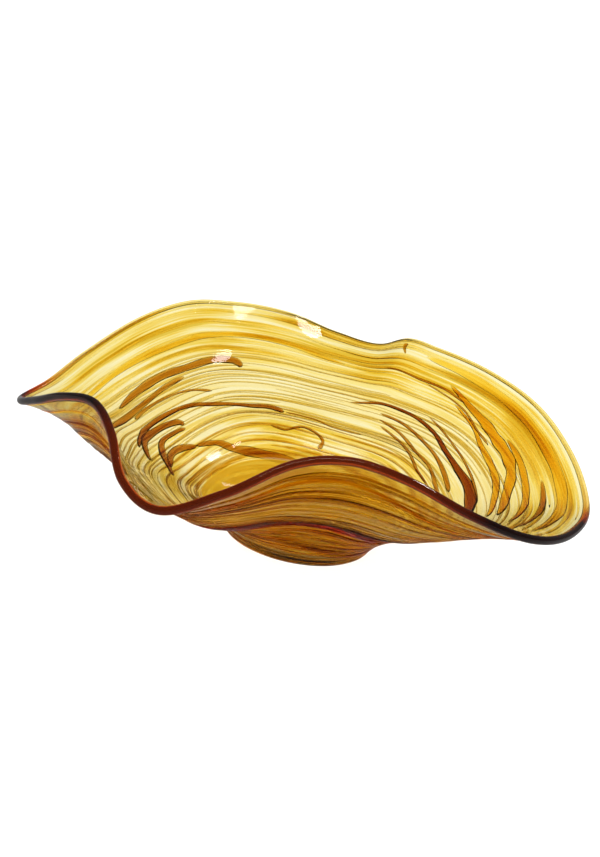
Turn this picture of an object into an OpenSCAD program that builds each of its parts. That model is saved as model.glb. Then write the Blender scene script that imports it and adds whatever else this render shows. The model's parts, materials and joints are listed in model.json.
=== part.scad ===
// Hand-blown glass centrepiece bowl with a waved rim.
// A clear straw-coloured shell stands on a thick ground base.  Amber glass was wound
// round the outside as a fine thread and laid on as broad trails, and the lip carries
// a dark wrap.  Azimuth runs counter-clockwise from +X, seen from above.  A level is
// the share of the way up the wall, from 0 at the base to 100 at the lip.

/* [Base] */
// Radius of the ground flat that the bowl rests on
rest_r = 61; // [52:1:64]
// Radius where the base meets the wall
base_r = 70; // [68:1:74]
// Height where the base meets the wall
base_h = 12; // [10:0.5:14]
// Thickness of the glass at the middle of the base
floor_h = 8; // [6:0.5:9]

/* [Wall] */
// Thickness of the wall
wall_t = 4.5; // [3.5:0.1:5.5]
// Slope of the wall where it leaves the base, in degrees
base_slope = 50; // [42:1:56]
// Slope of the wall at the shoulder, in degrees
shoulder_slope = 21; // [16:1:30]
// Level of the shoulder, as a share of the wall
shoulder_level = 32; // [28:1:36]

/* [Lip] */
// Radius of the lip wrap at the front of the bowl
lip_front_r = 4; // [3:0.1:4.4]
// Radius of the lip wrap at the back of the bowl
lip_back_r = 2.4; // [2.3:0.1:3]

/* [Threads and trails] */
// Width of the fine wound thread
thread_w = 2.2; // [1.4:0.1:3]
// How far the fine thread stands off the wall
thread_h = 0.8; // [0.5:0.1:1.2]
// How far the broad trails stand off the wall
trail_h = 1.8; // [1.2:0.1:2.4]
// Depth that threads and trails are sunk into the wall
sunk = 0.5; // [0.4:0.1:0.8]

/* [Hidden] */

clear_glass = [0.88, 0.80, 0.50, 0.45];
base_glass = [0.80, 0.66, 0.25, 0.6];
lip_glass = [0.26, 0.10, 0.05];
olive_glass = [0.55, 0.42, 0.12];
brown_glass = [0.55, 0.26, 0.05];
amber_glass = [0.72, 0.40, 0.08];
gold_glass = [0.85, 0.64, 0.18];

// Stations round the lip: azimuth, reach from the axis, height, slope of the wall there.
RIM = [
    [0, 235, 83, 10], [12, 229, 98, 20], [26, 218, 118, 40], [45, 208, 129, 50],
    [62, 204, 131, 50], [71, 207, 129, 42], [78, 217, 113, 20], [90, 215, 115, 25],
    [102, 205, 129, 45], [120, 199, 138, 55], [136, 200, 138, 50], [149, 212, 120, 30],
    [160, 229, 93, 10], [170, 240, 75, 2], [181, 252, 71, 0], [191, 238, 89, 28],
    [201, 224, 111, 70], [215, 214, 127, 85], [225, 221, 118, 60], [234, 235, 96, 25],
    [244, 239, 88, 10], [255, 225, 112, 30], [266, 202, 139, 55], [278, 193, 148, 65],
    [292, 202, 140, 55], [306, 217, 118, 35], [322, 230, 95, 15], [342, 234, 82, 5]
];

// Stations round the shoulder: azimuth, reach from the axis, height.
SHOULDER = [
    [0, 115, 40], [40, 108, 56], [80, 108, 54], [125, 108, 60], [178, 119, 39.5],
    [212, 141, 48], [240, 138, 42.5], [262, 114, 57], [284, 114, 62], [302, 114, 52],
    [320, 114, 44], [345, 116, 39]
];

wall_columns = 90;      // azimuth steps of the wall and the lip
wall_rows = 20;         // level steps of the wall
lip_sides = 8;          // sides of the lip wrap's section
thread_step = 5;        // azimuth step along a wound thread
trail_step = 5;         // steps between two stations of a trail
lip_pull = 1.15;        // how strongly the lip's slope shapes the wall below it
lip_thick_az = 268;     // azimuth at which the lip wrap is thickest

// ---- curves ----

// Point between p and q at t, leaving p along m and reaching q along n.
function hermite(p, m, q, n, t) =
    (2 * t^3 - 3 * t^2 + 1) * p + (t^3 - 2 * t^2 + t) * m
    + (3 * t^2 - 2 * t^3) * q + (t^3 - t^2) * n;

// Row i of a table of stations that goes on round the bowl in both directions.
function station(table, i) =
    let (n = len(table), turn = floor(i / n), row = table[i - n * turn])
    [for (j = [0 : len(row) - 1]) row[j] + (j == 0 ? 360 * turn : 0)];

// Rate of change of a table at its row i, per degree.
function rate(table, i) =
    let (p = station(table, i - 1), q = station(table, i), r = station(table, i + 1),
         before = q[0] - p[0], after = r[0] - q[0])
    ((q - p) * after / before + (r - q) * before / after) / (before + after);

// Number of the last row at or before azimuth a.
function row_before(table, a, i = 0) =
    i + 1 < len(table) && table[i + 1][0] <= a ? row_before(table, a, i + 1) : i;

// Values of a table at azimuth a, on a smooth closed curve through its stations.
function round_table(table, a) =
    let (b = a - 360 * floor(a / 360), i = row_before(table, b),
         p = station(table, i), q = station(table, i + 1), gap = q[0] - p[0])
    hermite(p, rate(table, i) * gap, q, rate(table, i + 1) * gap, (b - p[0]) / gap);

// ---- wall surface ----

function slope_dir(angle) = [cos(angle), sin(angle)];

// Reach and height of the outer surface, from the lip's and shoulder's values there.
function profile(rim, shoulder, level) =
    let (foot = [base_r, base_h], mid = [shoulder[1], shoulder[2]], top = [rim[1], rim[2]],
         low = norm(mid - foot), high = norm(top - mid), over = slope_dir(shoulder_slope))
    level < shoulder_level
        ? hermite(foot, low * slope_dir(base_slope), mid, low * over, level / shoulder_level)
        : hermite(mid, high * over, top, lip_pull * high * slope_dir(rim[3]),
                  (level - shoulder_level) / (100 - shoulder_level));

function outer(a, level) =
    let (rz = profile(round_table(RIM, a), round_table(SHOULDER, a), level))
    [rz[0] * cos(a), rz[0] * sin(a), rz[1]];

// Unit normal of the outer surface, pointing away from the bowl.
function normal(a, level) =
    let (up = outer(a, min(level + 0.5, 100)) - outer(a, max(level - 0.5, 0)),
         along = outer(a + 0.5, level) - outer(a - 0.5, level), n = cross(along, up))
    n / norm(n);

function inner(a, level) = outer(a, level) - wall_t * normal(a, level);

// ---- solids swept along a path ----

// A solid through closed sections of equal size, joined end to end or closed by two caps.
module sweep(sections, closed = false) {
    n = len(sections[0]);
    rings = len(sections);
    last = closed ? rings - 1 : rings - 2;
    sides = [
        for (i = [0 : last], j = [0 : n - 1])
            let (a = i * n + j, b = i * n + (j + 1) % n, next = ((i + 1) % rings) * n,
                 c = next + (j + 1) % n, d = next + j)
            each [[a, b, c], [a, c, d]]
    ];
    caps = closed ? [] : concat(
        [for (j = [1 : n - 2]) [0, j + 1, j]],
        [for (j = [1 : n - 2]) let (s = (rings - 1) * n) [s, s + j, s + j + 1]]);
    polyhedron(points = [for (s = sections) each s], faces = concat(sides, caps));
}

// Section of a thread at azimuth a, laid on the outer surface and across its own run.
// shape lists [across, out] pairs, and run is the direction in which the thread goes.
function laid_section(a, level, run, shape) =
    let (n = normal(a, level), side = cross(run / norm(run), n), p = outer(a, level))
    [for (s = shape) p + s[0] * side + s[1] * n];

// The fine thread: it winds round the wall between two levels.
module wound_thread(from, to, turns, start, width, height) {
    steps = round(turns * 360 / thread_step);
    function at(i) = from + (to - from) * i / steps;
    shape = [[-width / 2, -sunk], [width / 2, -sunk], [0, height]];
    sweep([
        for (i = [0 : steps])
            let (a = start + i * thread_step,
                 run = outer(a + 1, at(i)) - outer(a - 1, at(i)))
            laid_section(a, at(i), run, shape)
    ]);
}

// Smooth curve through stations [azimuth, level, width], with trail_step points from each
// station to the next.
function trail_points(way) =
    let (n = len(way))
    [for (i = [0 : n - 2], k = [0 : trail_step - (i == n - 2 ? 0 : 1)])
        let (p = way[i], q = way[i + 1], before = i > 0 ? way[i - 1] : 2 * p - q,
             after = i + 2 < n ? way[i + 2] : 2 * q - p)
        hermite(p, (q - before) / 2, q, (after - p) / 2, k / trail_step)];

// A broad trail: a rounded strap of glass that swells as its stations say and tapers off
// at both ends.  lift is its height as a share of trail_h.
module trail(way, lift = 1) {
    pts = trail_points(way);
    m = len(pts) - 1;
    sweep([
        for (i = [0 : m])
            let (p = pts[i], q = pts[min(i + 1, m)], o = pts[max(i - 1, 0)],
                 run = outer(q[0], q[1]) - outer(o[0], o[1]),
                 end = min(i, m - i) / 3, grow = end < 1 ? 0.35 + 0.65 * sqrt(end) : 1,
                 w = p[2] / 2 * grow, h = lift * trail_h * grow)
            laid_section(p[0], p[1], run,
                         [[-w, -sunk], [w, -sunk], [0.7 * w, 0.7 * h], [0, h], [-0.7 * w, 0.7 * h]])
    ]);
}

// ---- sub-parts ----

module bowl_wall() {
    color(clear_glass)
        sweep([
            for (i = [0 : wall_columns - 1])
                let (a = 360 * i / wall_columns)
                concat([for (k = [0 : wall_rows]) inner(a, 100 * k / wall_rows)],
                       [for (k = [wall_rows : -1 : 0]) outer(a, 100 * k / wall_rows)])
        ], closed = true);
}

// Thick round pad under the wall, ground flat below and dished above.
module base_pad() {
    steps = 8;
    seat = inner(0, 0);
    slope = slope_dir(base_slope);
    side = [for (k = [0 : steps])
        hermite([rest_r, 0], [base_r - rest_r, 2], [base_r, base_h], base_h * slope, k / steps)];
    dish = [for (k = [0 : steps])
        hermite([seat[0], seat[2]], -18 * slope, [0.6 * base_r, floor_h], [-18, 0], k / steps)];
    color(base_glass)
        rotate_extrude($fn = 180)
            polygon(concat([[0, 0]], side, dish, [[0, floor_h]]));
}

// Dark wrap round the lip, thickest at the front of the bowl.
module lip_wrap() {
    function share(a) = max(0, min(1, 0.6 + 0.8 * cos(a - lip_thick_az)));
    function bead_r(a) =
        let (t = share(a))
        lip_back_r + (lip_front_r - lip_back_r) * t * t * (3 - 2 * t);
    color(lip_glass)
        sweep([
            for (i = [0 : wall_columns - 1])
                let (a = 360 * i / wall_columns, n = normal(a, 100),
                     along = outer(a + 0.5, 100) - outer(a - 0.5, 100),
                     up = cross(n, along / norm(along)), c = outer(a, 100) - wall_t / 2 * n)
                [for (j = [0 : lip_sides - 1])
                    let (g = 360 * (j + 0.5) / lip_sides)
                    c + bead_r(a) * (cos(g) * n + sin(g) * up)]
        ], closed = true);
}

module lower_thread() {
    color(brown_glass) wound_thread(4, 30, 5, 200, thread_w, thread_h);
}

module middle_thread() {
    color(olive_glass) wound_thread(30, 72, 9, 200, thread_w, thread_h);
}

module upper_thread() {
    color(amber_glass) wound_thread(72, 97, 5, 200, 1.5 * thread_w, thread_h);
}

module long_trail() {
    color(brown_glass)
        trail([[182, 46, 3], [174, 50, 5], [168, 52, 6], [154, 52, 4.4],
               [145, 50, 4.4], [136, 46, 4.4], [122, 42, 4.6], [112, 42, 6],
               [106, 40, 6]]);
}

module long_trail_tail() {
    color(brown_glass)
        trail([[105, 40, 2], [92, 40, 1.8], [84, 38, 1.8], [70, 38, 1.6]], 0.6);
}

module hook_trail() {
    color(brown_glass)
        trail([[188, 38, 4], [180, 44, 6], [173, 48, 8], [164, 48, 7], [156, 46, 6],
               [154, 43, 6]]);
}

module inner_hook_trail() {
    color(brown_glass)
        trail([[192, 25, 4], [184, 30, 6], [176, 37, 8], [169, 42, 6], [161, 42, 4],
               [155, 41, 4]]);
}

module upper_trail() {
    color(brown_glass)
        trail([[168, 68, 4], [159, 70, 7], [151, 71, 8], [140, 70, 7], [128, 71, 7],
               [122, 70, 8], [120, 67, 7]]);
}

module upper_trail_limb() {
    color(brown_glass)
        trail([[180, 61, 4], [170, 62, 7], [160, 63, 5], [152, 65, 5], [143, 66, 4]]);
}

module short_trail() {
    color(brown_glass)
        trail([[168, 59, 4], [162, 60, 3.4], [152, 60, 2.4], [143, 58, 2.2],
               [135, 54, 3.4]], 0.7);
}

module drip_trail() {
    color(brown_glass)
        trail([[114, 29, 2], [106, 28, 2], [98, 32, 2.4], [91, 31, 2.6], [86, 27, 3],
               [87, 22, 5]], 0.8);
}

module floor_trail_left() {
    color(brown_glass)
        trail([[184, 29, 4], [174, 34, 7], [166, 34, 8], [158, 30, 6]]);
}

module floor_trail_back() {
    color(brown_glass)
        trail([[158, 30, 4], [148, 26, 6], [138, 19, 8], [122, 15, 9], [104, 13, 8],
               [92, 12, 4]]);
}

module right_dark_trail() {
    color(brown_glass)
        trail([[80, 58, 2], [70, 62, 3], [58, 62, 3.6], [46, 58, 4], [36, 53, 5],
               [26, 51, 7], [16, 51, 9], [5, 49, 12], [-4, 46, 9]]);
}

module right_amber_trail() {
    color(amber_glass)
        trail([[53, 86, 3], [44, 81, 6], [35, 78, 9], [28, 76, 11], [20, 75, 11],
               [13, 72, 10], [4, 66, 9], [-8, 62, 6]]);
}

module right_amber_fork() {
    color(amber_glass)
        trail([[26, 80, 3], [18, 79, 6], [10, 77, 7], [2, 75, 7], [-6, 73, 6],
               [-16, 70, 4]]);
}

module right_gold_trail() {
    color(amber_glass)
        trail([[48, 78, 2.4], [36, 72, 3.4], [29, 68, 5], [20, 66, 7], [12, 64, 7],
               [3, 60, 6], [-8, 57, 4]]);
}

module right_low_trail() {
    color(brown_glass)
        trail([[68, 56, 2.4], [59, 55, 3], [46, 50, 3.4], [36, 47, 3.6], [26, 44, 4.6],
               [15, 41, 5]], 0.8);
}

module right_gold_band() {
    color(gold_glass)
        trail([[64, 95, 5], [47, 94, 8], [32, 93, 9], [16, 92, 10], [3, 91, 10],
               [-12, 89, 9], [-26, 87, 6]], 0.7);
}

module left_gold_band() {
    color(gold_glass)
        trail([[172, 82, 5], [156, 84, 6], [143, 83, 6], [130, 84, 6], [116, 85, 6],
               [100, 84, 5], [86, 82, 3]], 0.7);
}

module front_crest_trail() {
    color(amber_glass)
        trail([[248, 84, 3], [260, 87, 5], [272, 89, 6], [284, 88, 5], [298, 83, 4],
               [312, 79, 3]], 0.8);
}

module front_low_trail() {
    color(brown_glass)
        trail([[240, 26, 4], [256, 29, 6], [270, 31, 7], [284, 30, 7], [300, 25, 6],
               [312, 22, 4]], 0.7);
}

bowl_wall();
base_pad();
lip_wrap();
lower_thread();
middle_thread();
upper_thread();
long_trail();
long_trail_tail();
hook_trail();
inner_hook_trail();
upper_trail();
upper_trail_limb();
short_trail();
drip_trail();
floor_trail_left();
floor_trail_back();
right_dark_trail();
right_amber_trail();
right_amber_fork();
right_gold_trail();
right_low_trail();
right_gold_band();
left_gold_band();
front_crest_trail();
front_low_trail();
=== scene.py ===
# Hand-blown glass bowl: the visual model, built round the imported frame.
# Lengths are in millimetres until a mesh is made, where they become metres.
# Azimuth runs counter-clockwise from +X; a level is the share of the way up the wall in percent.
import json
import math

import bpy
import numpy as np
from mathutils import Matrix, Vector

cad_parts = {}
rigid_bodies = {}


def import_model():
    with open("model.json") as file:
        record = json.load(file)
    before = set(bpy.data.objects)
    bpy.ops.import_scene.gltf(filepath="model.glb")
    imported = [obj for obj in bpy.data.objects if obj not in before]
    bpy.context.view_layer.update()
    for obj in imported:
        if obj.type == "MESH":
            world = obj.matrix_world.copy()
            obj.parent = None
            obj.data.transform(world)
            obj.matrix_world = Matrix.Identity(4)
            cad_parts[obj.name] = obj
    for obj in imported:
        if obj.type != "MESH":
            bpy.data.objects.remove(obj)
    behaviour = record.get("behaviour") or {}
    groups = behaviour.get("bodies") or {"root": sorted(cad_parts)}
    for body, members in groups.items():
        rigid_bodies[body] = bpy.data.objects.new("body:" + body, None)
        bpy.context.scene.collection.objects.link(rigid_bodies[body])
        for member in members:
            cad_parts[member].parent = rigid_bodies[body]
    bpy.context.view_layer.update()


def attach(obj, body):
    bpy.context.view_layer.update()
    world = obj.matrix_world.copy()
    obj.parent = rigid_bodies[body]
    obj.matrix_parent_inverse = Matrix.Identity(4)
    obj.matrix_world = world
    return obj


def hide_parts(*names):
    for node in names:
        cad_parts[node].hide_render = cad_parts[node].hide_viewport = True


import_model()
MM = 0.001

# ---------------------------------------------------------------- shape of the bowl

BASE_R, BASE_H, BASE_SLOPE = 70.0, 12.0, 50.0
REST_R, FLOOR_H = 61.0, 8.0
SHOULDER_SLOPE, SHOULDER_LEVEL = 21.0, 32.0
WALL_T = 4.5
LIP_PULL = 1.15
BASE_LEVELS = 9.0  # the base's side counts as this many levels below 0
WALL_LENGTH = 200.0  # rough length of the wall from base to lip

# azimuth, reach, height, slope of the wall at the lip. Azimuth, reach and height started from a
# scratch program's solution of the outline in the photo and were then moved by hand. The slopes
# at 170, 181, 191 and 201 came from a fitting program, the others were set by hand.
RIM = np.array([
    [0, 235, 83, 10], [12, 229, 98, 20], [26, 218, 118, 40], [45, 208, 129, 50],
    [62, 204, 131, 50], [71, 207, 129, 42], [78, 217, 113, 20], [90, 215, 115, 25],
    [102, 205, 129, 45], [120, 199, 138, 55], [136, 200, 138, 50], [149, 212, 120, 30],
    [160, 229, 93, 10], [170, 240, 75, 2], [181, 252, 71, 0], [191, 238, 89, 28],
    [201, 224, 111, 70], [215, 214, 127, 85], [225, 221, 118, 60], [234, 235, 96, 25],
    [244, 239, 88, 10], [255, 225, 112, 30], [266, 202, 139, 55], [278, 193, 148, 65],
    [292, 202, 140, 55], [306, 217, 118, 35], [322, 230, 95, 15], [342, 234, 82, 5],
], float)

# azimuth, reach, height of the shoulder. The rows 178, 212 and 240 came from a fitting program,
# the others were set by hand.
SHOULDER = np.array([
    [0, 115, 40], [40, 108, 56], [80, 108, 54], [125, 108, 60], [178, 119, 39.5],
    [212, 141, 48], [240, 138, 42.5], [262, 114, 57], [284, 114, 62], [302, 114, 52],
    [320, 114, 44], [345, 116, 39],
], float)


def hermite(p, m, q, n, t):
    return ((2 * t**3 - 3 * t**2 + 1) * p + (t**3 - 2 * t**2 + t) * m
            + (3 * t**2 - 2 * t**3) * q + (t**3 - t**2) * n)


def round_table(table, az):
    """Values of a table of stations at each azimuth, on a smooth closed curve."""
    whole_turn = np.eye(table.shape[1])[0] * 360
    wrap = np.vstack([table[-2:] - whole_turn, table, table[:3] + whole_turn])
    gap = np.diff(wrap[:, 0])[:, None]
    chord = np.diff(wrap, axis=0) / gap
    rate = np.zeros_like(wrap)
    rate[1:-1] = (chord[:-1] * gap[1:] + chord[1:] * gap[:-1]) / (gap[:-1] + gap[1:])
    az = np.mod(az, 360)
    i = np.clip(np.searchsorted(wrap[:, 0], az, side="right") - 1, 1, len(wrap) - 3)
    t = ((az - wrap[i, 0]) / gap[i, 0])[..., None]
    return hermite(wrap[i], rate[i] * gap[i], wrap[i + 1], rate[i + 1] * gap[i], t)


def slope_dir(degrees):
    a = np.radians(degrees)
    return np.stack([np.cos(a), np.sin(a)], -1)


def base_side(t):
    """Radius and height of the base's side, from the foot at t = 0 to the wall at t = 1."""
    start, end = np.array([REST_R, 0.0]), np.array([BASE_R, BASE_H])
    return hermite(start, np.array([BASE_R - REST_R, 2.0]), end, BASE_H * slope_dir(BASE_SLOPE), t)


def outer(az, level):
    """Points of the outer surface in millimetres. Levels below 0 run down the base's side."""
    az, level = np.broadcast_arrays(np.asarray(az, float), np.asarray(level, float))
    rim = round_table(RIM, az)
    mid = round_table(SHOULDER, az)[..., 1:3]
    top = rim[..., 1:3]
    foot = np.array([BASE_R, BASE_H])
    low = np.linalg.norm(mid - foot, axis=-1, keepdims=True)
    high = np.linalg.norm(top - mid, axis=-1, keepdims=True)
    over = slope_dir(SHOULDER_SLOPE)
    below = hermite(foot, low * slope_dir(BASE_SLOPE), mid, low * over,
                    (level / SHOULDER_LEVEL)[..., None])
    above = hermite(mid, high * over, top, LIP_PULL * high * slope_dir(rim[..., 3]),
                    ((level - SHOULDER_LEVEL) / (100 - SHOULDER_LEVEL))[..., None])
    rz = np.where((level < SHOULDER_LEVEL)[..., None], below, above)
    rz = np.where((level < 0)[..., None], base_side(1 + level[..., None] / BASE_LEVELS), rz)
    a = np.radians(az)
    return np.stack([rz[..., 0] * np.cos(a), rz[..., 0] * np.sin(a), rz[..., 1]], -1)


def unit(v):
    return v / np.linalg.norm(v, axis=-1, keepdims=True)


def normal(az, level):
    """Unit normals of the outer surface, pointing away from the bowl."""
    az, level = np.broadcast_arrays(np.asarray(az, float), np.asarray(level, float))
    up = outer(az, np.minimum(level + 0.5, 100)) - outer(az, np.maximum(level - 0.5, -BASE_LEVELS))
    along = outer(az + 0.5, level) - outer(az - 0.5, level)
    return unit(np.cross(along, up))


# ---------------------------------------------------------------- mesh building

STRAND_GAP = 0.06  # clear air between a strand and the wall, so that the two solids stay apart
UNDERSIDE = 0.2  # share of a strand's height that lies below its widest place
THREAD_SIDES, TRAIL_SIDES = 8, 14  # sides of a strand's section


def mesh_object(name, points, faces, flow=None):
    """A smooth-shaded mesh object from points in millimetres."""
    mesh = bpy.data.meshes.new(name)
    mesh.from_pydata((np.asarray(points) * MM).tolist(), [], faces)
    mesh.update()
    mesh.polygons.foreach_set("use_smooth", [True] * len(mesh.polygons))
    if flow is not None:
        layer = mesh.attributes.new("flow", "FLOAT_VECTOR", "POINT")
        layer.data.foreach_set("vector", np.asarray(flow, np.float32).ravel())
    obj = bpy.data.objects.new(name, mesh)
    bpy.context.scene.collection.objects.link(obj)
    return obj


def grid_faces(rings, sides, closed_rings, first=0):
    """Quads through rings of points, each ring a closed section of equal size."""
    last = rings if closed_rings else rings - 1
    faces = []
    for i in range(last):
        a, b = first + i * sides, first + ((i + 1) % rings) * sides
        for j in range(sides):
            k = (j + 1) % sides
            faces.append((a + j, b + j, b + k, a + k))
    return faces


def flow_at(az, level):
    """Where a point lies on the blown bowl: round it, and up it. The textures follow this."""
    a = np.radians(az)
    return np.stack([np.cos(a), np.sin(a), np.asarray(level, float) / 100], -1)


def strand(az, level, half_w, height, sides=THREAD_SIDES):
    """Points and faces of a low rounded strand that lies on the outer surface."""
    p, n = outer(az, level), normal(az, level)
    side = unit(np.cross(np.gradient(p, axis=0), n))
    g = 2 * np.pi * (np.arange(sides) + 0.5) / sides
    dome = np.where(np.sin(g) > 0, UNDERSIDE + (1 - UNDERSIDE) * np.sin(g),
                    UNDERSIDE * (1 + np.sin(g)))
    across = half_w[:, None] * np.cos(g)
    out = STRAND_GAP + height[:, None] * dome
    pts = p[:, None] + across[..., None] * side[:, None] + out[..., None] * n[:, None]
    flow = np.repeat(flow_at(az, level)[:, None], sides, axis=1)
    flow[..., 2] += across / WALL_LENGTH
    return pts.reshape(-1, 3), flow.reshape(-1, 3), grid_faces(len(az), sides, False)


def join_strands(name, strands, sides=THREAD_SIDES):
    """One object from several strands, each closed by a cap at both ends."""
    points, flows, faces, first = [], [], [], 0
    for pts, flow, quads in strands:
        points.append(pts)
        flows.append(flow)
        faces += [tuple(v + first for v in q) for q in quads]
        count = len(pts)
        faces.append(tuple(first + j for j in range(sides)))
        faces.append(tuple(first + count - sides + j for j in reversed(range(sides))))
        first += count
    return mesh_object(name, np.vstack(points), faces, np.vstack(flows))


def sway(x, seed):
    """A smooth wander between about -1 and 1, the same on every run."""
    rng = np.random.default_rng(seed)
    total = np.zeros_like(x)
    for k in range(5):
        total += rng.uniform(0.5, 1) * np.sin(x * rng.uniform(0.6, 3.0) + rng.uniform(0, 6.28))
    return total / 2.6


# ---------------------------------------------------------------- materials

POOL_MILK = 0.6  # how much of the base's colour scatters light, so that the floor glows
POOL_TOP, POOL_RISE = -0.012, 60.0  # flow height where the base's colour starts, and its rate
FRONT_LINES_AND_REFLECTIONS = 60.0  # how fine the streaks are on the side that is seen from outside; they are partly the glass's own striations and partly painted reflections
FRONT_EDGES = (0.45, 0.54)  # noise values between which such a streak comes in
FRONT_PAINTED_LIGHT = 0.7  # painted light: how much paler the streaks are painted on the side that is seen from outside
SHINE = 0.22  # share of the mirror reflection kept, so that the white table does not veil the glass


def mix_math(tree, operation, first, second):
    """A math node whose inputs are sockets or plain numbers."""
    made = tree.nodes.new("ShaderNodeMath")
    made.operation = operation
    for socket, value in zip(made.inputs, (first, second)):
        if isinstance(value, (int, float)):
            socket.default_value = value
        else:
            tree.links.new(value, socket)
    return made.outputs["Value"]


def color_ramp(tree, factor, stops):
    made = tree.nodes.new("ShaderNodeValToRGB")
    ramp = made.color_ramp
    while len(ramp.elements) < len(stops):
        ramp.elements.new(1.0)
    for element, (place, color) in zip(ramp.elements, stops):
        element.position = place
        element.color = (*color, 1) if isinstance(color, tuple) else (color, color, color, 1)
    tree.links.new(factor, made.inputs["Fac"])
    return made.outputs["Color"]


def streaks(tree, flow, around, up, shift):
    """Noise drawn out along the windings: around turns fast, up sets how fine the bands are."""
    place = tree.nodes.new("ShaderNodeMapping")
    place.inputs["Scale"].default_value = (around, around, up)
    place.inputs["Location"].default_value = (shift, 0, 0)
    tree.links.new(flow, place.inputs["Vector"])
    noise = tree.nodes.new("ShaderNodeTexNoise")
    noise.inputs["Scale"].default_value = 1.0
    noise.inputs["Detail"].default_value = 3.0
    tree.links.new(place.outputs["Vector"], noise.inputs["Vector"])
    return noise.outputs["Fac"]


def glass(name, absorb, stops, zones=((0.0, 1.0), (1.0, 1.0)), front=None, front_levels=None,
          facing=270.0, pool=0.0, evenness=0.6, bands=24.0, edges=(0.45, 0.58), rough=0.01,
          ripple=0.03, ior=1.5, clear=1.0, shine=SHINE):
    """
    Coloured glass. absorb is what a metre of it takes from red, green and blue; stops are the
    tints from pale to deep, laid in streaks; zones say how deep the streaks are up the bowl.
    On the side that faces the facing azimuth light and shade are painted in: on the clear glass
    the streaks are painted paler there (painted light) and finer streaks lie over them, partly the
    glass's own striations and partly painted reflections; on the lip it is painted shade. front
    says how deep this is from that azimuth (0) to the far side (1), front_levels how this changes
    up the bowl, and evenness how much of the fine streaks' colour lies between them. pool is how
    deep the colour of the base is.
    """
    mat = bpy.data.materials.new(name)
    mat.use_nodes = True
    tree = mat.node_tree
    bsdf = tree.nodes["Principled BSDF"]
    bsdf.inputs["Transmission Weight"].default_value = clear
    bsdf.inputs["IOR"].default_value = ior
    bsdf.inputs["Specular Tint"].default_value = (shine, shine, shine, 1)
    attribute = tree.nodes.new("ShaderNodeAttribute")
    attribute.attribute_name = "flow"
    flow = attribute.outputs["Vector"]
    split = tree.nodes.new("ShaderNodeSeparateXYZ")
    tree.links.new(flow, split.inputs["Vector"])
    broad = streaks(tree, flow, 1.3, bands, 0.0)
    fine = streaks(tree, flow, 2.2, 4 * bands, 5.0)
    both = mix_math(tree, "ADD", mix_math(tree, "MULTIPLY", broad, 0.7),
                    mix_math(tree, "MULTIPLY", fine, 0.3))
    band = color_ramp(tree, both, ((edges[0], 0.0), (edges[1], 1.0)))
    depth = mix_math(tree, "MULTIPLY", color_ramp(tree, split.outputs["Z"], zones), band)
    if pool:
        below = mix_math(tree, "MULTIPLY", mix_math(tree, "ADD", split.outputs["Z"], -POOL_TOP),
                         -POOL_RISE)
        below = mix_math(tree, "MINIMUM", mix_math(tree, "MAXIMUM", below, 0.0), pool)
        depth = mix_math(tree, "MAXIMUM", depth, below)
        through = mix_math(tree, "SUBTRACT", clear, mix_math(tree, "MULTIPLY", below, POOL_MILK))
        tree.links.new(through, bsdf.inputs["Transmission Weight"])
    # painted light and shade on the side toward the facing azimuth: paler streaks and painted
    # reflections on the clear glass, painted shade on the lip
    if front:
        behind = math.radians(facing + 180)
        x_part = mix_math(tree, "MULTIPLY", split.outputs["X"], 0.5 * math.cos(behind))
        y_part = mix_math(tree, "MULTIPLY", split.outputs["Y"], 0.5 * math.sin(behind))
        across = mix_math(tree, "ADD", mix_math(tree, "ADD", x_part, y_part), 0.5)
        lines = color_ramp(tree, streaks(tree, flow, 1.6, FRONT_LINES_AND_REFLECTIONS, 9.0),
                           ((FRONT_EDGES[0], 0.0), (FRONT_EDGES[1], 1.0)))
        even = mix_math(tree, "ADD", mix_math(tree, "MULTIPLY", lines, 1 - evenness), evenness)
        near = color_ramp(tree, across, front)
        depth = mix_math(tree, "MULTIPLY", depth, mix_math(tree, "SUBTRACT", 1.0,
                         mix_math(tree, "MULTIPLY", near, FRONT_PAINTED_LIGHT)))
        share = mix_math(tree, "MULTIPLY", near, even)
        share = mix_math(tree, "MULTIPLY", share,
                         color_ramp(tree, split.outputs["Z"], front_levels))
        depth = mix_math(tree, "MAXIMUM", depth, share)
    tree.links.new(color_ramp(tree, depth, stops), bsdf.inputs["Base Color"])
    smear = tree.nodes.new("ShaderNodeMapRange")
    smear.inputs["To Min"].default_value = 0.0
    smear.inputs["To Max"].default_value = 2 * rough
    tree.links.new(fine, smear.inputs["Value"])
    tree.links.new(smear.outputs["Result"], bsdf.inputs["Roughness"])
    bump = tree.nodes.new("ShaderNodeBump")
    bump.inputs["Strength"].default_value = ripple
    bump.inputs["Distance"].default_value = 0.002
    tree.links.new(both, bump.inputs["Height"])
    tree.links.new(bump.outputs["Normal"], bsdf.inputs["Normal"])
    soak = tree.nodes.new("ShaderNodeVolumeAbsorption")
    most = max(absorb)
    soak.inputs["Density"].default_value = most
    soak.inputs["Color"].default_value = (*[1 - a / most for a in absorb], 1)
    tree.links.new(soak.outputs["Volume"], tree.nodes["Material Output"].inputs["Volume"])
    return mat


def finish_piece(obj, material, slot, *nodes):
    obj.data.materials.append(material)
    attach(obj, "root")
    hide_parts(*nodes)
    return obj


# ---------------------------------------------------------------- pieces

COLUMNS, ROWS = 400, 96
FLOOR_RISE = 17.0  # levels by which the floor's own colour runs up the inside of the wall
UNDER_RINGS, FLOOR_RINGS = (6, 20, 35, 48, 57, 60), (30, 18, 6)  # radii of the flat faces' rings
DISH_PULL, DISH_SHARE = 18.0, 0.6  # how gently the dish turns, and its foot as a share of BASE_R


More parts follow.
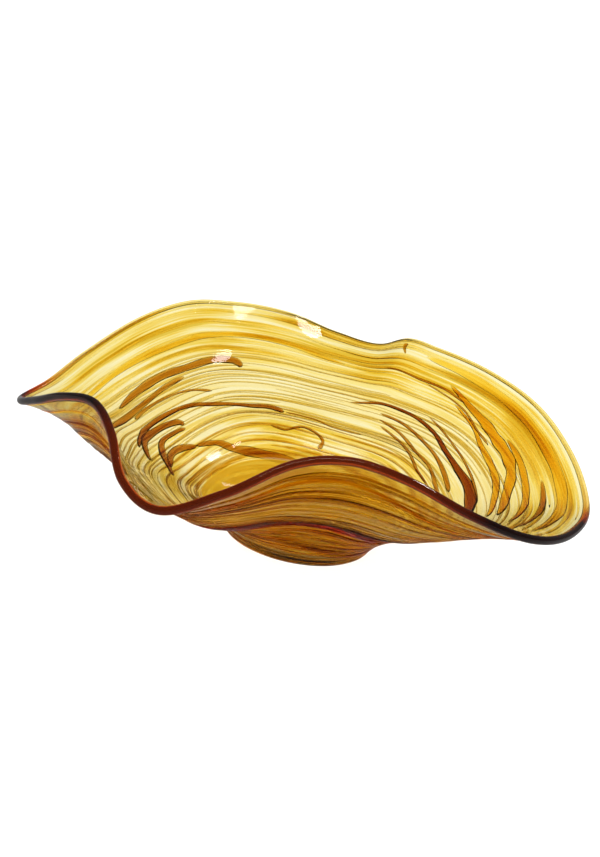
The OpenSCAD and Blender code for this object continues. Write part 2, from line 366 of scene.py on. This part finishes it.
def bowl_body():
    """Wall and base as one clear body of glass, blown from one gather."""
    az = np.arange(COLUMNS) * 360 / COLUMNS
    levels = np.linspace(0, 100, ROWS + 1)
    a2, l2 = np.meshgrid(az, levels, indexing="ij")
    out, nrm = outer(a2, l2), normal(a2, l2)
    inside = out - WALL_T * nrm
    # the ground base below the wall, and the dished floor above it
    steps = 10
    t = np.linspace(0, 1, steps + 1)[:, None]
    foot = base_side(t)[:-1]
    flat = np.array([[r, 0.0] for r in UNDER_RINGS])
    seat = np.array([np.hypot(*inside[0, 0, :2]), inside[0, 0, 2]])
    dish = hermite(seat, -DISH_PULL * slope_dir(BASE_SLOPE),
                   np.array([DISH_SHARE * BASE_R, FLOOR_H]), np.array([-DISH_PULL, 0.0]), t)[1:]
    middle_rings = np.array([[r, FLOOR_H] for r in FLOOR_RINGS])
    a = np.radians(az)

    def turned(rz):
        return np.stack([rz[None, :, 0] * np.cos(a)[:, None], rz[None, :, 0] * np.sin(a)[:, None],
                         np.repeat(rz[None, :, 1], COLUMNS, 0)], -1)

    below, above = turned(np.vstack([flat, foot])), turned(np.vstack([dish, middle_rings]))
    section = np.concatenate([below, out, inside[:, ::-1], above], axis=1)
    sides = section.shape[1]
    lowered = levels[::-1] - FLOOR_RISE * (1 - levels[::-1] / 100)
    level = np.concatenate([np.full(len(flat), -FLOOR_RISE), np.linspace(-1, 0, steps), levels,
                            lowered, np.full(above.shape[1], -FLOOR_RISE)])
    flow = flow_at(az[:, None] + 0 * level[None, :], level[None, :] + 0 * az[:, None])
    radius = np.hypot(section[..., 0], section[..., 1])
    flow[..., :2] *= np.clip(radius / BASE_R, 0, 1)[..., None]
    points = section.reshape(-1, 3).tolist()
    faces = []
    for i in range(COLUMNS):
        k = (i + 1) % COLUMNS
        for j in range(sides - 1):
            faces.append((i * sides + j, k * sides + j, k * sides + j + 1, i * sides + j + 1))
    under, middle = len(points), len(points) + 1
    points += [[0, 0, 0], [0, 0, FLOOR_H]]
    for i in range(COLUMNS):
        k = (i + 1) % COLUMNS
        faces.append((under, k * sides, i * sides))
        faces.append((middle, i * sides + sides - 1, k * sides + sides - 1))
    flow = np.vstack([flow.reshape(-1, 3), [[0, 0, -FLOOR_RISE / 100]] * 2])
    return mesh_object("bowl_glass", np.array(points), faces, flow)


LIP_FRONT_R, LIP_BACK_R, LIP_THICK_AZ = 4.0, 2.4, 268.0
LIP_INSET = 0.90  # the drawn lip stays this share of the CAD bead, inside its box


def bead_radius(az):
    t = np.clip(0.6 + 0.8 * np.cos(np.radians(az - LIP_THICK_AZ)), 0, 1)
    return LIP_BACK_R + (LIP_FRONT_R - LIP_BACK_R) * t * t * (3 - 2 * t)


def lip_wrap():
    sides = 20
    az = np.arange(720) * 0.5
    bead = LIP_INSET * bead_radius(az)
    n = normal(az, 100.0)
    along = outer(az + 0.5, 100.0) - outer(az - 0.5, 100.0)
    up = np.cross(n, unit(along))
    middle = outer(az, 100.0) - WALL_T / 2 * n
    g = 2 * np.pi * np.arange(sides) / sides
    ring = np.cos(g)[None, :, None] * n[:, None] + np.sin(g)[None, :, None] * up[:, None]
    pts = middle[:, None] + bead[:, None, None] * ring
    flow = np.repeat(flow_at(az, 100 + 0 * az)[:, None], sides, axis=1)
    flow[..., 2] += 0.02 * np.sin(g)
    return mesh_object("lip", pts.reshape(-1, 3), grid_faces(len(az), sides, True),
                       flow.reshape(-1, 3))


def thread(start_level, end_level, start_az, turn, width, seed, height=0.45, wander=0.8):
    """A thread laid round the wall, that thins, swells and wanders as it goes."""
    steps = max(12, int(abs(turn) / 2))
    az = start_az + np.linspace(0, turn, steps + 1)
    x = np.radians(az)
    level = np.linspace(start_level, end_level, steps + 1) + wander * sway(x, seed)
    level = np.clip(level, 1 - BASE_LEVELS, 98.5)
    half = width / 2 * np.clip(1 + 0.5 * sway(1.9 * x, seed + 1), 0.25, 2.2)
    tip = np.minimum(np.arange(steps + 1), steps - np.arange(steps + 1)) / 8
    half = half * np.sqrt(np.clip(tip + 0.05, 0, 1))
    return strand(az, level, half, np.minimum(height, half))


def helix(low, high, turns, start_az, width, seed, **more):
    return thread(low, high, start_az, 360 * turns, width, seed, **more)


def stray_threads(count, low, high, width, seed, near=(0, 360), **more):
    """Short threads laid by chance between two levels, each starting between two azimuths."""
    rng = np.random.default_rng(seed)
    made = []
    for k in range(count):
        level, start, turn = rng.uniform(low, high), rng.uniform(*near), rng.uniform(50, 260)
        if near[1] - near[0] < 360:
            start, turn = start - 15, turn / 3.5
        drift, size = rng.uniform(-2.5, 2.5), width * rng.uniform(0.5, 1.7)
        made.append(thread(level, level + drift, start, turn, size, seed + 10 * k, **more))
    return made


def smooth_way(stations, per=12):
    s = np.array(stations, float)
    padded = np.vstack([2 * s[0] - s[1], s, 2 * s[-1] - s[-2]])
    pts = []
    for i in range(1, len(s)):
        t = np.linspace(0, 1, per, endpoint=(i == len(s) - 1))[:, None]
        p, q = padded[i], padded[i + 1]
        pts.append(hermite(p, (q - padded[i - 1]) / 2, q, (padded[i + 2] - p) / 2, t))
    return np.vstack(pts)


def trail(stations, height=1.0, seed=0, sides=TRAIL_SIDES):
    """A broad trail through stations of azimuth, level and width."""
    way = smooth_way(stations)
    m = len(way)
    x = np.arange(m) / 5.0
    half = way[:, 2] / 2 * (1 + 0.10 * sway(x, seed))
    tip = np.minimum(np.arange(m), m - 1 - np.arange(m)) / 4.0
    grow = np.sqrt(np.clip(1 - (1 - np.clip(tip, 0.02, 1)) ** 2, 0, 1))
    half = half * grow
    return strand(way[:, 0], way[:, 1], half, np.minimum(height * grow, half), sides)


# what each ramp of the glass gives at each place: zones, then the painted front, which is painted
# light and painted reflection on the clear glass and painted shade on the lip
STRAW_ZONES = ((0.0, 1.0), (0.12, 0.9), (0.34, 0.6), (0.45, 0.25), (0.60, 0.25), (0.76, 0.85),
               (0.90, 0.95))
# painted light on the side toward azimuth 278: the broad streaks are painted paler there, and finer
# streaks lie over them, partly the glass's own striations and partly painted reflections
STRAW_PAINTED_FRONT = ((0.06, 0.68), (0.18, 0.48), (0.30, 0.16), (0.40, 0.0))
# painted shade on the lip: maroon toward azimuth 262, near-black to either side of it, fading to
# pale at the back
LIP_PAINTED_SHADE = ((0.0, 0.78), (0.09, 0.82), (0.19, 1.0), (0.44, 1.0), (0.50, 0.6), (0.545, 0.15),
             (0.60, 0.0))
EVEN = ((0.0, (1.0, 0.98, 0.94)), (1.0, (0.90, 0.84, 0.70)))
straw = glass("clear_glass", (54, 74, 185), (
    (0.0, (1, 1, 0.96)), (0.4, (0.95, 0.80, 0.27)), (0.8, (0.84, 0.54, 0.03)),
    (1.0, (0.56, 0.32, 0.012))),
    STRAW_ZONES, STRAW_PAINTED_FRONT, ((0.24, 0.85), (0.30, 1.0), (0.36, 0.95), (0.42, 0.62)),
    facing=278, pool=0.97, evenness=0.2)
# the lip's colour is painted shade: near-black toward azimuth 262 and at the top of the bead, paler
# on the bead's lower side and at the back
lip_dark = glass("lip_glass", (30, 60, 170), (
    (0.0, (0.95, 0.86, 0.42)), (0.35, (0.80, 0.48, 0.08)), (0.55, (0.60, 0.17, 0.03)),
    (0.78, (0.55, 0.06, 0.005)), (0.93, (0.03, 0.006, 0.004))),
    ((0.0, 0.0), (1.0, 0.0)), LIP_PAINTED_SHADE, ((0.986, 0.5), (0.996, 1.0)), facing=262, evenness=0.96,
    clear=0.9, shine=0.4, rough=0.04, ripple=0.0)
olive = glass("olive_glass", (520, 1150, 4200), EVEN, ior=1.12)
brown_thread = glass("brown_thread_glass", (420, 1100, 3300), EVEN, ior=1.12)
amber_thread = glass("amber_thread_glass", (110, 560, 3400), EVEN, ior=1.06)
brown = glass("brown_glass", (560, 1300, 3600), EVEN)
amber = glass("amber_glass", (130, 620, 3400), EVEN)
gold = glass("gold_glass", (60, 400, 2600), EVEN, ior=1.2)
wine = glass("wine_glass", (330, 1900, 3200), EVEN, ior=1.2)

finish_piece(bowl_body(), straw, "clear_glass", "bowl_wall", "base_pad")
finish_piece(lip_wrap(), lip_dark, "lip_glass", "lip_wrap")

# thin lines beside the broad trails: stations of azimuth, level and width, from the same program
# as the trails where the line is traced
THIN_LINES = (
    [[67, 52, 2], [58, 49, 2.8], [44, 42, 3.2], [32, 40, 3.2], [22, 37, 4], [12, 35, 4]],
    [[65, 48, 2], [56, 44, 2.6], [45, 39, 2.8], [34, 34, 2.8], [24, 33, 2]],
    [[52, 65, 1.4], [38, 59, 2.2], [26, 56, 2.2], [15, 54, 2.6], [4, 52, 2.4]],
    [[60, 82, 1.4], [45, 78, 1.8], [36, 73, 2.2], [28, 71, 2]],
    [[74, 84, 1.4], [64, 83, 2], [54, 83, 2.4], [46, 81, 2.4]],
    [[8, 84, 3], [-3, 82, 6], [-14, 80, 5], [-24, 77, 3]],
)
# dark lines that crowd the fold under the front crest
FOLD_LINES = [
    [[222 + 7 * (k % 3), 24 + k, 1.2], [246 + 5 * (k % 4), 24.5 + k, 2.4],
     [270 + 4 * (k % 5), 24 + k, 2.6], [296 + 9 * (k % 3), 22 + k, 1.4]] for k in range(14)
]
BESIDE = {"right_low_trail": THIN_LINES, "front_low_trail": FOLD_LINES}
LINE_HEIGHT = 0.9
CREASE = [[70, 93, 1.6], [71, 96, 3.4], [71, 98.6, 6]]  # where the lip was pinched at the back
lower = join_strands("lower_windings", [
    helix(-7, 31, 9, 200, 1.7, 11), helix(-6, 20, 5, 60, 2.0, 12)]
    + stray_threads(34, -7, 36, 1.8, 13)
    + stray_threads(26, -6, 24, 1.8, 15, near=(225, 300), height=0.5)
    + stray_threads(22, 24, 36, 2.6, 14, near=(225, 290), height=1.1)
    + stray_threads(14, 2, 24, 2.4, 16, near=(230, 315), height=0.9)
    + stray_threads(18, 55, 94, 1.6, 17, near=(190, 240), height=0.6))
finish_piece(lower, brown_thread, "brown_glass", "lower_thread")
middle = join_strands("middle_windings", [helix(30, 75, 6, 200, 1.4, 21, height=0.3, wander=1.6)]
                      + stray_threads(44, 33, 76, 1.3, 22, height=0.3, wander=1.4)
                      + stray_threads(64, 34, 94, 1.6, 23, near=(240, 318), height=0.5)
                      + [trail(CREASE, LINE_HEIGHT, 70, THREAD_SIDES)])
finish_piece(middle, olive, "olive_glass", "middle_thread")
upper = join_strands("upper_windings", [helix(74, 98, 4, 200, 3.0, 31, height=0.25, wander=1.2)]
                     + stray_threads(14, 72, 98, 3.0, 32, height=0.25, wander=1.2))
finish_piece(upper, amber_thread, "amber_glass", "upper_thread")

# name: material, slot, height, stations of [azimuth, level, width]. Most azimuths and levels came
# from a scratch program that laid points read off the photo on the wall; widths are set by hand.
TRAILS = {
    "long_trail": (brown, "brown_glass", 1.3, [
        [182, 46, 3], [174, 50, 5], [168, 52, 6], [154, 52, 4.4], [145, 50, 4.4],
        [136, 46, 4.4], [122, 42, 4.6], [112, 42, 6], [106, 40, 6]]),
    "long_trail_tail": (brown, "brown_glass", 0.7, [
        [105, 40, 2], [92, 40, 1.8], [84, 38, 1.8], [70, 38, 1.6]]),
    "hook_trail": (brown, "brown_glass", 1.3, [
        [188, 38, 4], [180, 44, 6], [173, 48, 8], [164, 48, 7], [156, 46, 6],
        [154, 43, 6]]),
    "inner_hook_trail": (brown, "brown_glass", 1.2, [
        [192, 25, 4], [184, 30, 6], [176, 37, 8], [169, 42, 6], [161, 42, 4],
        [155, 41, 4]]),
    "upper_trail": (brown, "brown_glass", 1.1, [
        [168, 68, 4], [159, 70, 7], [151, 71, 8], [140, 70, 7], [128, 71, 7],
        [122, 70, 8], [120, 67, 7]]),
    "upper_trail_limb": (brown, "brown_glass", 0.9, [
        [180, 61, 4], [170, 62, 7], [160, 63, 5], [152, 65, 5], [143, 66, 4]]),
    "short_trail": (brown, "brown_glass", 0.8, [
        [168, 59, 4], [162, 60, 3.4], [152, 60, 2.4], [143, 58, 2.2], [135, 54, 3.4]]),
    "drip_trail": (brown, "brown_glass", 1, [
        [114, 29, 2], [106, 28, 2], [98, 32, 2.4], [91, 31, 2.6], [86, 27, 3],
        [87, 22, 5]]),
    "floor_trail_left": (brown, "brown_glass", 1.1, [
        [184, 29, 4], [174, 34, 7], [166, 34, 8], [158, 30, 6]]),
    "floor_trail_back": (brown, "brown_glass", 1, [
        [158, 30, 4], [148, 26, 6], [138, 19, 8], [122, 15, 9], [104, 13, 8],
        [92, 12, 4]]),
    "right_dark_trail": (brown, "brown_glass", 2.0, [
        [80, 58, 2], [70, 62, 3], [58, 62, 3.6], [46, 58, 4], [36, 53, 5], [26, 51, 7],
        [16, 51, 9], [5, 49, 12], [-4, 46, 9]]),
    "right_amber_trail": (amber, "amber_glass", 1.2, [
        [53, 86, 3], [44, 81, 6], [35, 78, 9], [28, 76, 11], [20, 75, 11],
        [13, 72, 10], [4, 66, 9], [-8, 62, 6]]),
    "right_amber_fork": (amber, "amber_glass", 1.1, [
        [26, 80, 3], [18, 79, 6], [10, 77, 7], [2, 75, 7], [-6, 73, 6], [-16, 70, 4]]),
    "right_gold_trail": (amber, "amber_glass", 1.1, [
        [48, 78, 2.4], [36, 72, 3.4], [29, 68, 5], [20, 66, 7], [12, 64, 7],
        [3, 60, 6], [-8, 57, 4]]),
    "right_low_trail": (brown, "brown_glass", 1, [
        [68, 56, 2.4], [59, 55, 3], [46, 50, 3.4], [36, 47, 3.6], [26, 44, 4.6],
        [15, 41, 5]]),
    "right_gold_band": (gold, "gold_glass", 0.8, [
        [64, 95, 5], [47, 94, 8], [32, 93, 9], [16, 92, 10], [3, 91, 10], [-12, 89, 9],
        [-26, 87, 6]]),
    "left_gold_band": (gold, "gold_glass", 0.8, [
        [172, 82, 5], [156, 84, 6], [143, 83, 6], [130, 84, 6], [116, 85, 6],
        [100, 84, 5], [86, 82, 3]]),
    "front_crest_trail": (amber_thread, "amber_glass", 0.7, [
        [248, 84, 3], [260, 87, 5], [272, 89, 6], [284, 88, 5], [298, 83, 4],
        [312, 79, 3]]),
    "front_low_trail": (wine, "brown_glass", 1.1, [
        [240, 26, 4], [256, 29, 6], [270, 31, 7], [284, 30, 7], [300, 25, 6],
        [312, 22, 4]]),
}
for number, (name, (material, slot, height, stations)) in enumerate(TRAILS.items()):
    strands = [trail(stations, height, 40 + number)]
    strands += [trail(line, LINE_HEIGHT, 60 + k) for k, line in enumerate(BESIDE.get(name, ()))]
    piece = join_strands("glass_" + name, strands, TRAIL_SIDES)
    finish_piece(piece, material, slot, name)

# ---------------------------------------------------------------- floor, light, camera

ROOM_LIGHT = 1.0  # what the white room gives the floor
ROOM_SHINE = 0.14  # how bright the room looks in the glass, as in a darkened studio
FLOOR_HALF = 12.0  # half the floor's side, in metres
ELEVATION, ROLL, LENS = 23.6, 11.5, 82.55  # the photo's viewing angle and lens, degrees and mm
DISTANCE, AIM_RIGHT, AIM_UP = 1.7, 0.0035, 0.0913  # camera to origin and its aim, in metres


def studio_world():
    world = bpy.data.worlds.new("studio")
    bpy.context.scene.world = world
    world.use_nodes = True
    tree = world.node_tree
    back = tree.nodes["Background"]
    path = tree.nodes.new("ShaderNodeLightPath")
    level = tree.nodes.new("ShaderNodeMapRange")
    level.inputs["To Min"].default_value = ROOM_LIGHT
    level.inputs["To Max"].default_value = ROOM_SHINE
    tree.links.new(path.outputs["Is Glossy Ray"], level.inputs["Value"])
    tree.links.new(level.outputs["Result"], back.inputs["Strength"])
    back.inputs["Color"].default_value = (1, 1, 1, 1)


def floor():
    mesh = bpy.data.meshes.new("floor")
    s = FLOOR_HALF
    mesh.from_pydata([(-s, -s, 0), (s, -s, 0), (s, s, 0), (-s, s, 0)], [], [(0, 1, 2, 3)])
    obj = bpy.data.objects.new("floor", mesh)
    bpy.context.scene.collection.objects.link(obj)
    mat = bpy.data.materials.new("pale_floor")
    mat.use_nodes = True
    tree = mat.node_tree
    bsdf = tree.nodes["Principled BSDF"]
    path = tree.nodes.new("ShaderNodeLightPath")
    mirrored = mix_math(tree, "SUBTRACT", path.outputs["Is Glossy Ray"],
                        path.outputs["Is Transmission Ray"])
    for socket, plain, seen in (("Base Color", 0.62, 0.20), ("Emission Strength", 0.45, 0.12)):
        level = tree.nodes.new("ShaderNodeMapRange")
        level.inputs["To Min"].default_value = plain
        level.inputs["To Max"].default_value = seen
        tree.links.new(mirrored, level.inputs["Value"])
        tree.links.new(level.outputs["Result"], bsdf.inputs[socket])
    bsdf.inputs["Roughness"].default_value = 1.0
    bsdf.inputs["Specular IOR Level"].default_value = 0.0
    bsdf.inputs["Emission Color"].default_value = (1, 1, 1, 1)
    obj.data.materials.append(mat)


def area(name, place, aim, size, power):
    data = bpy.data.lights.new(name, "AREA")
    data.shape = "RECTANGLE"
    data.size, data.size_y = size
    data.energy = power
    obj = bpy.data.objects.new(name, data)
    bpy.context.scene.collection.objects.link(obj)
    obj.visible_transmission = False
    obj.location = place
    obj.rotation_euler = (Vector(aim) - Vector(place)).to_track_quat("-Z", "Y").to_euler()


def camera():
    elevation, roll = math.radians(ELEVATION), math.radians(ROLL)
    back = np.array([0, -math.cos(elevation), math.sin(elevation)])
    right = np.array([1.0, 0, 0])
    up = np.cross(back, right)
    r = math.cos(roll) * right + math.sin(roll) * up
    u = -math.sin(roll) * right + math.cos(roll) * up
    place = back * DISTANCE
    aim = AIM_RIGHT * r + AIM_UP * u
    z = unit(place - aim)
    x = unit(np.cross(u, z))
    y = np.cross(z, x)
    data = bpy.data.cameras.new("camera")
    data.lens = LENS
    data.sensor_width = 36
    obj = bpy.data.objects.new("camera", data)
    bpy.context.scene.collection.objects.link(obj)
    m = Matrix.Identity(4)
    for i in range(3):
        m[i][0], m[i][1], m[i][2], m[i][3] = x[i], y[i], z[i], place[i]
    obj.matrix_world = m
    bpy.context.scene.camera = obj


studio_world()
floor()
area("window", (0.82, 0.42, 1.18), (0, 0, 0.05), (0.40, 0.18), 7.0)
area("side_window", (0.96, -0.10, 1.15), (0, 0, 0.05), (0.12, 0.10), 1.2)
area("overhead", (0.0, -0.9, 1.9), (0, 0, 0.05), (1.3, 0.30), 11.0)
camera()

scene = bpy.context.scene
scene.view_settings.view_transform = "Standard"
scene.cycles.max_bounces = 32
scene.cycles.transmission_bounces = 32
scene.cycles.glossy_bounces = 12
scene.cycles.transparent_max_bounces = 16

for o in scene.objects:
    if o.type == "MESH" and o.name != "floor":
        o.visible_shadow = False
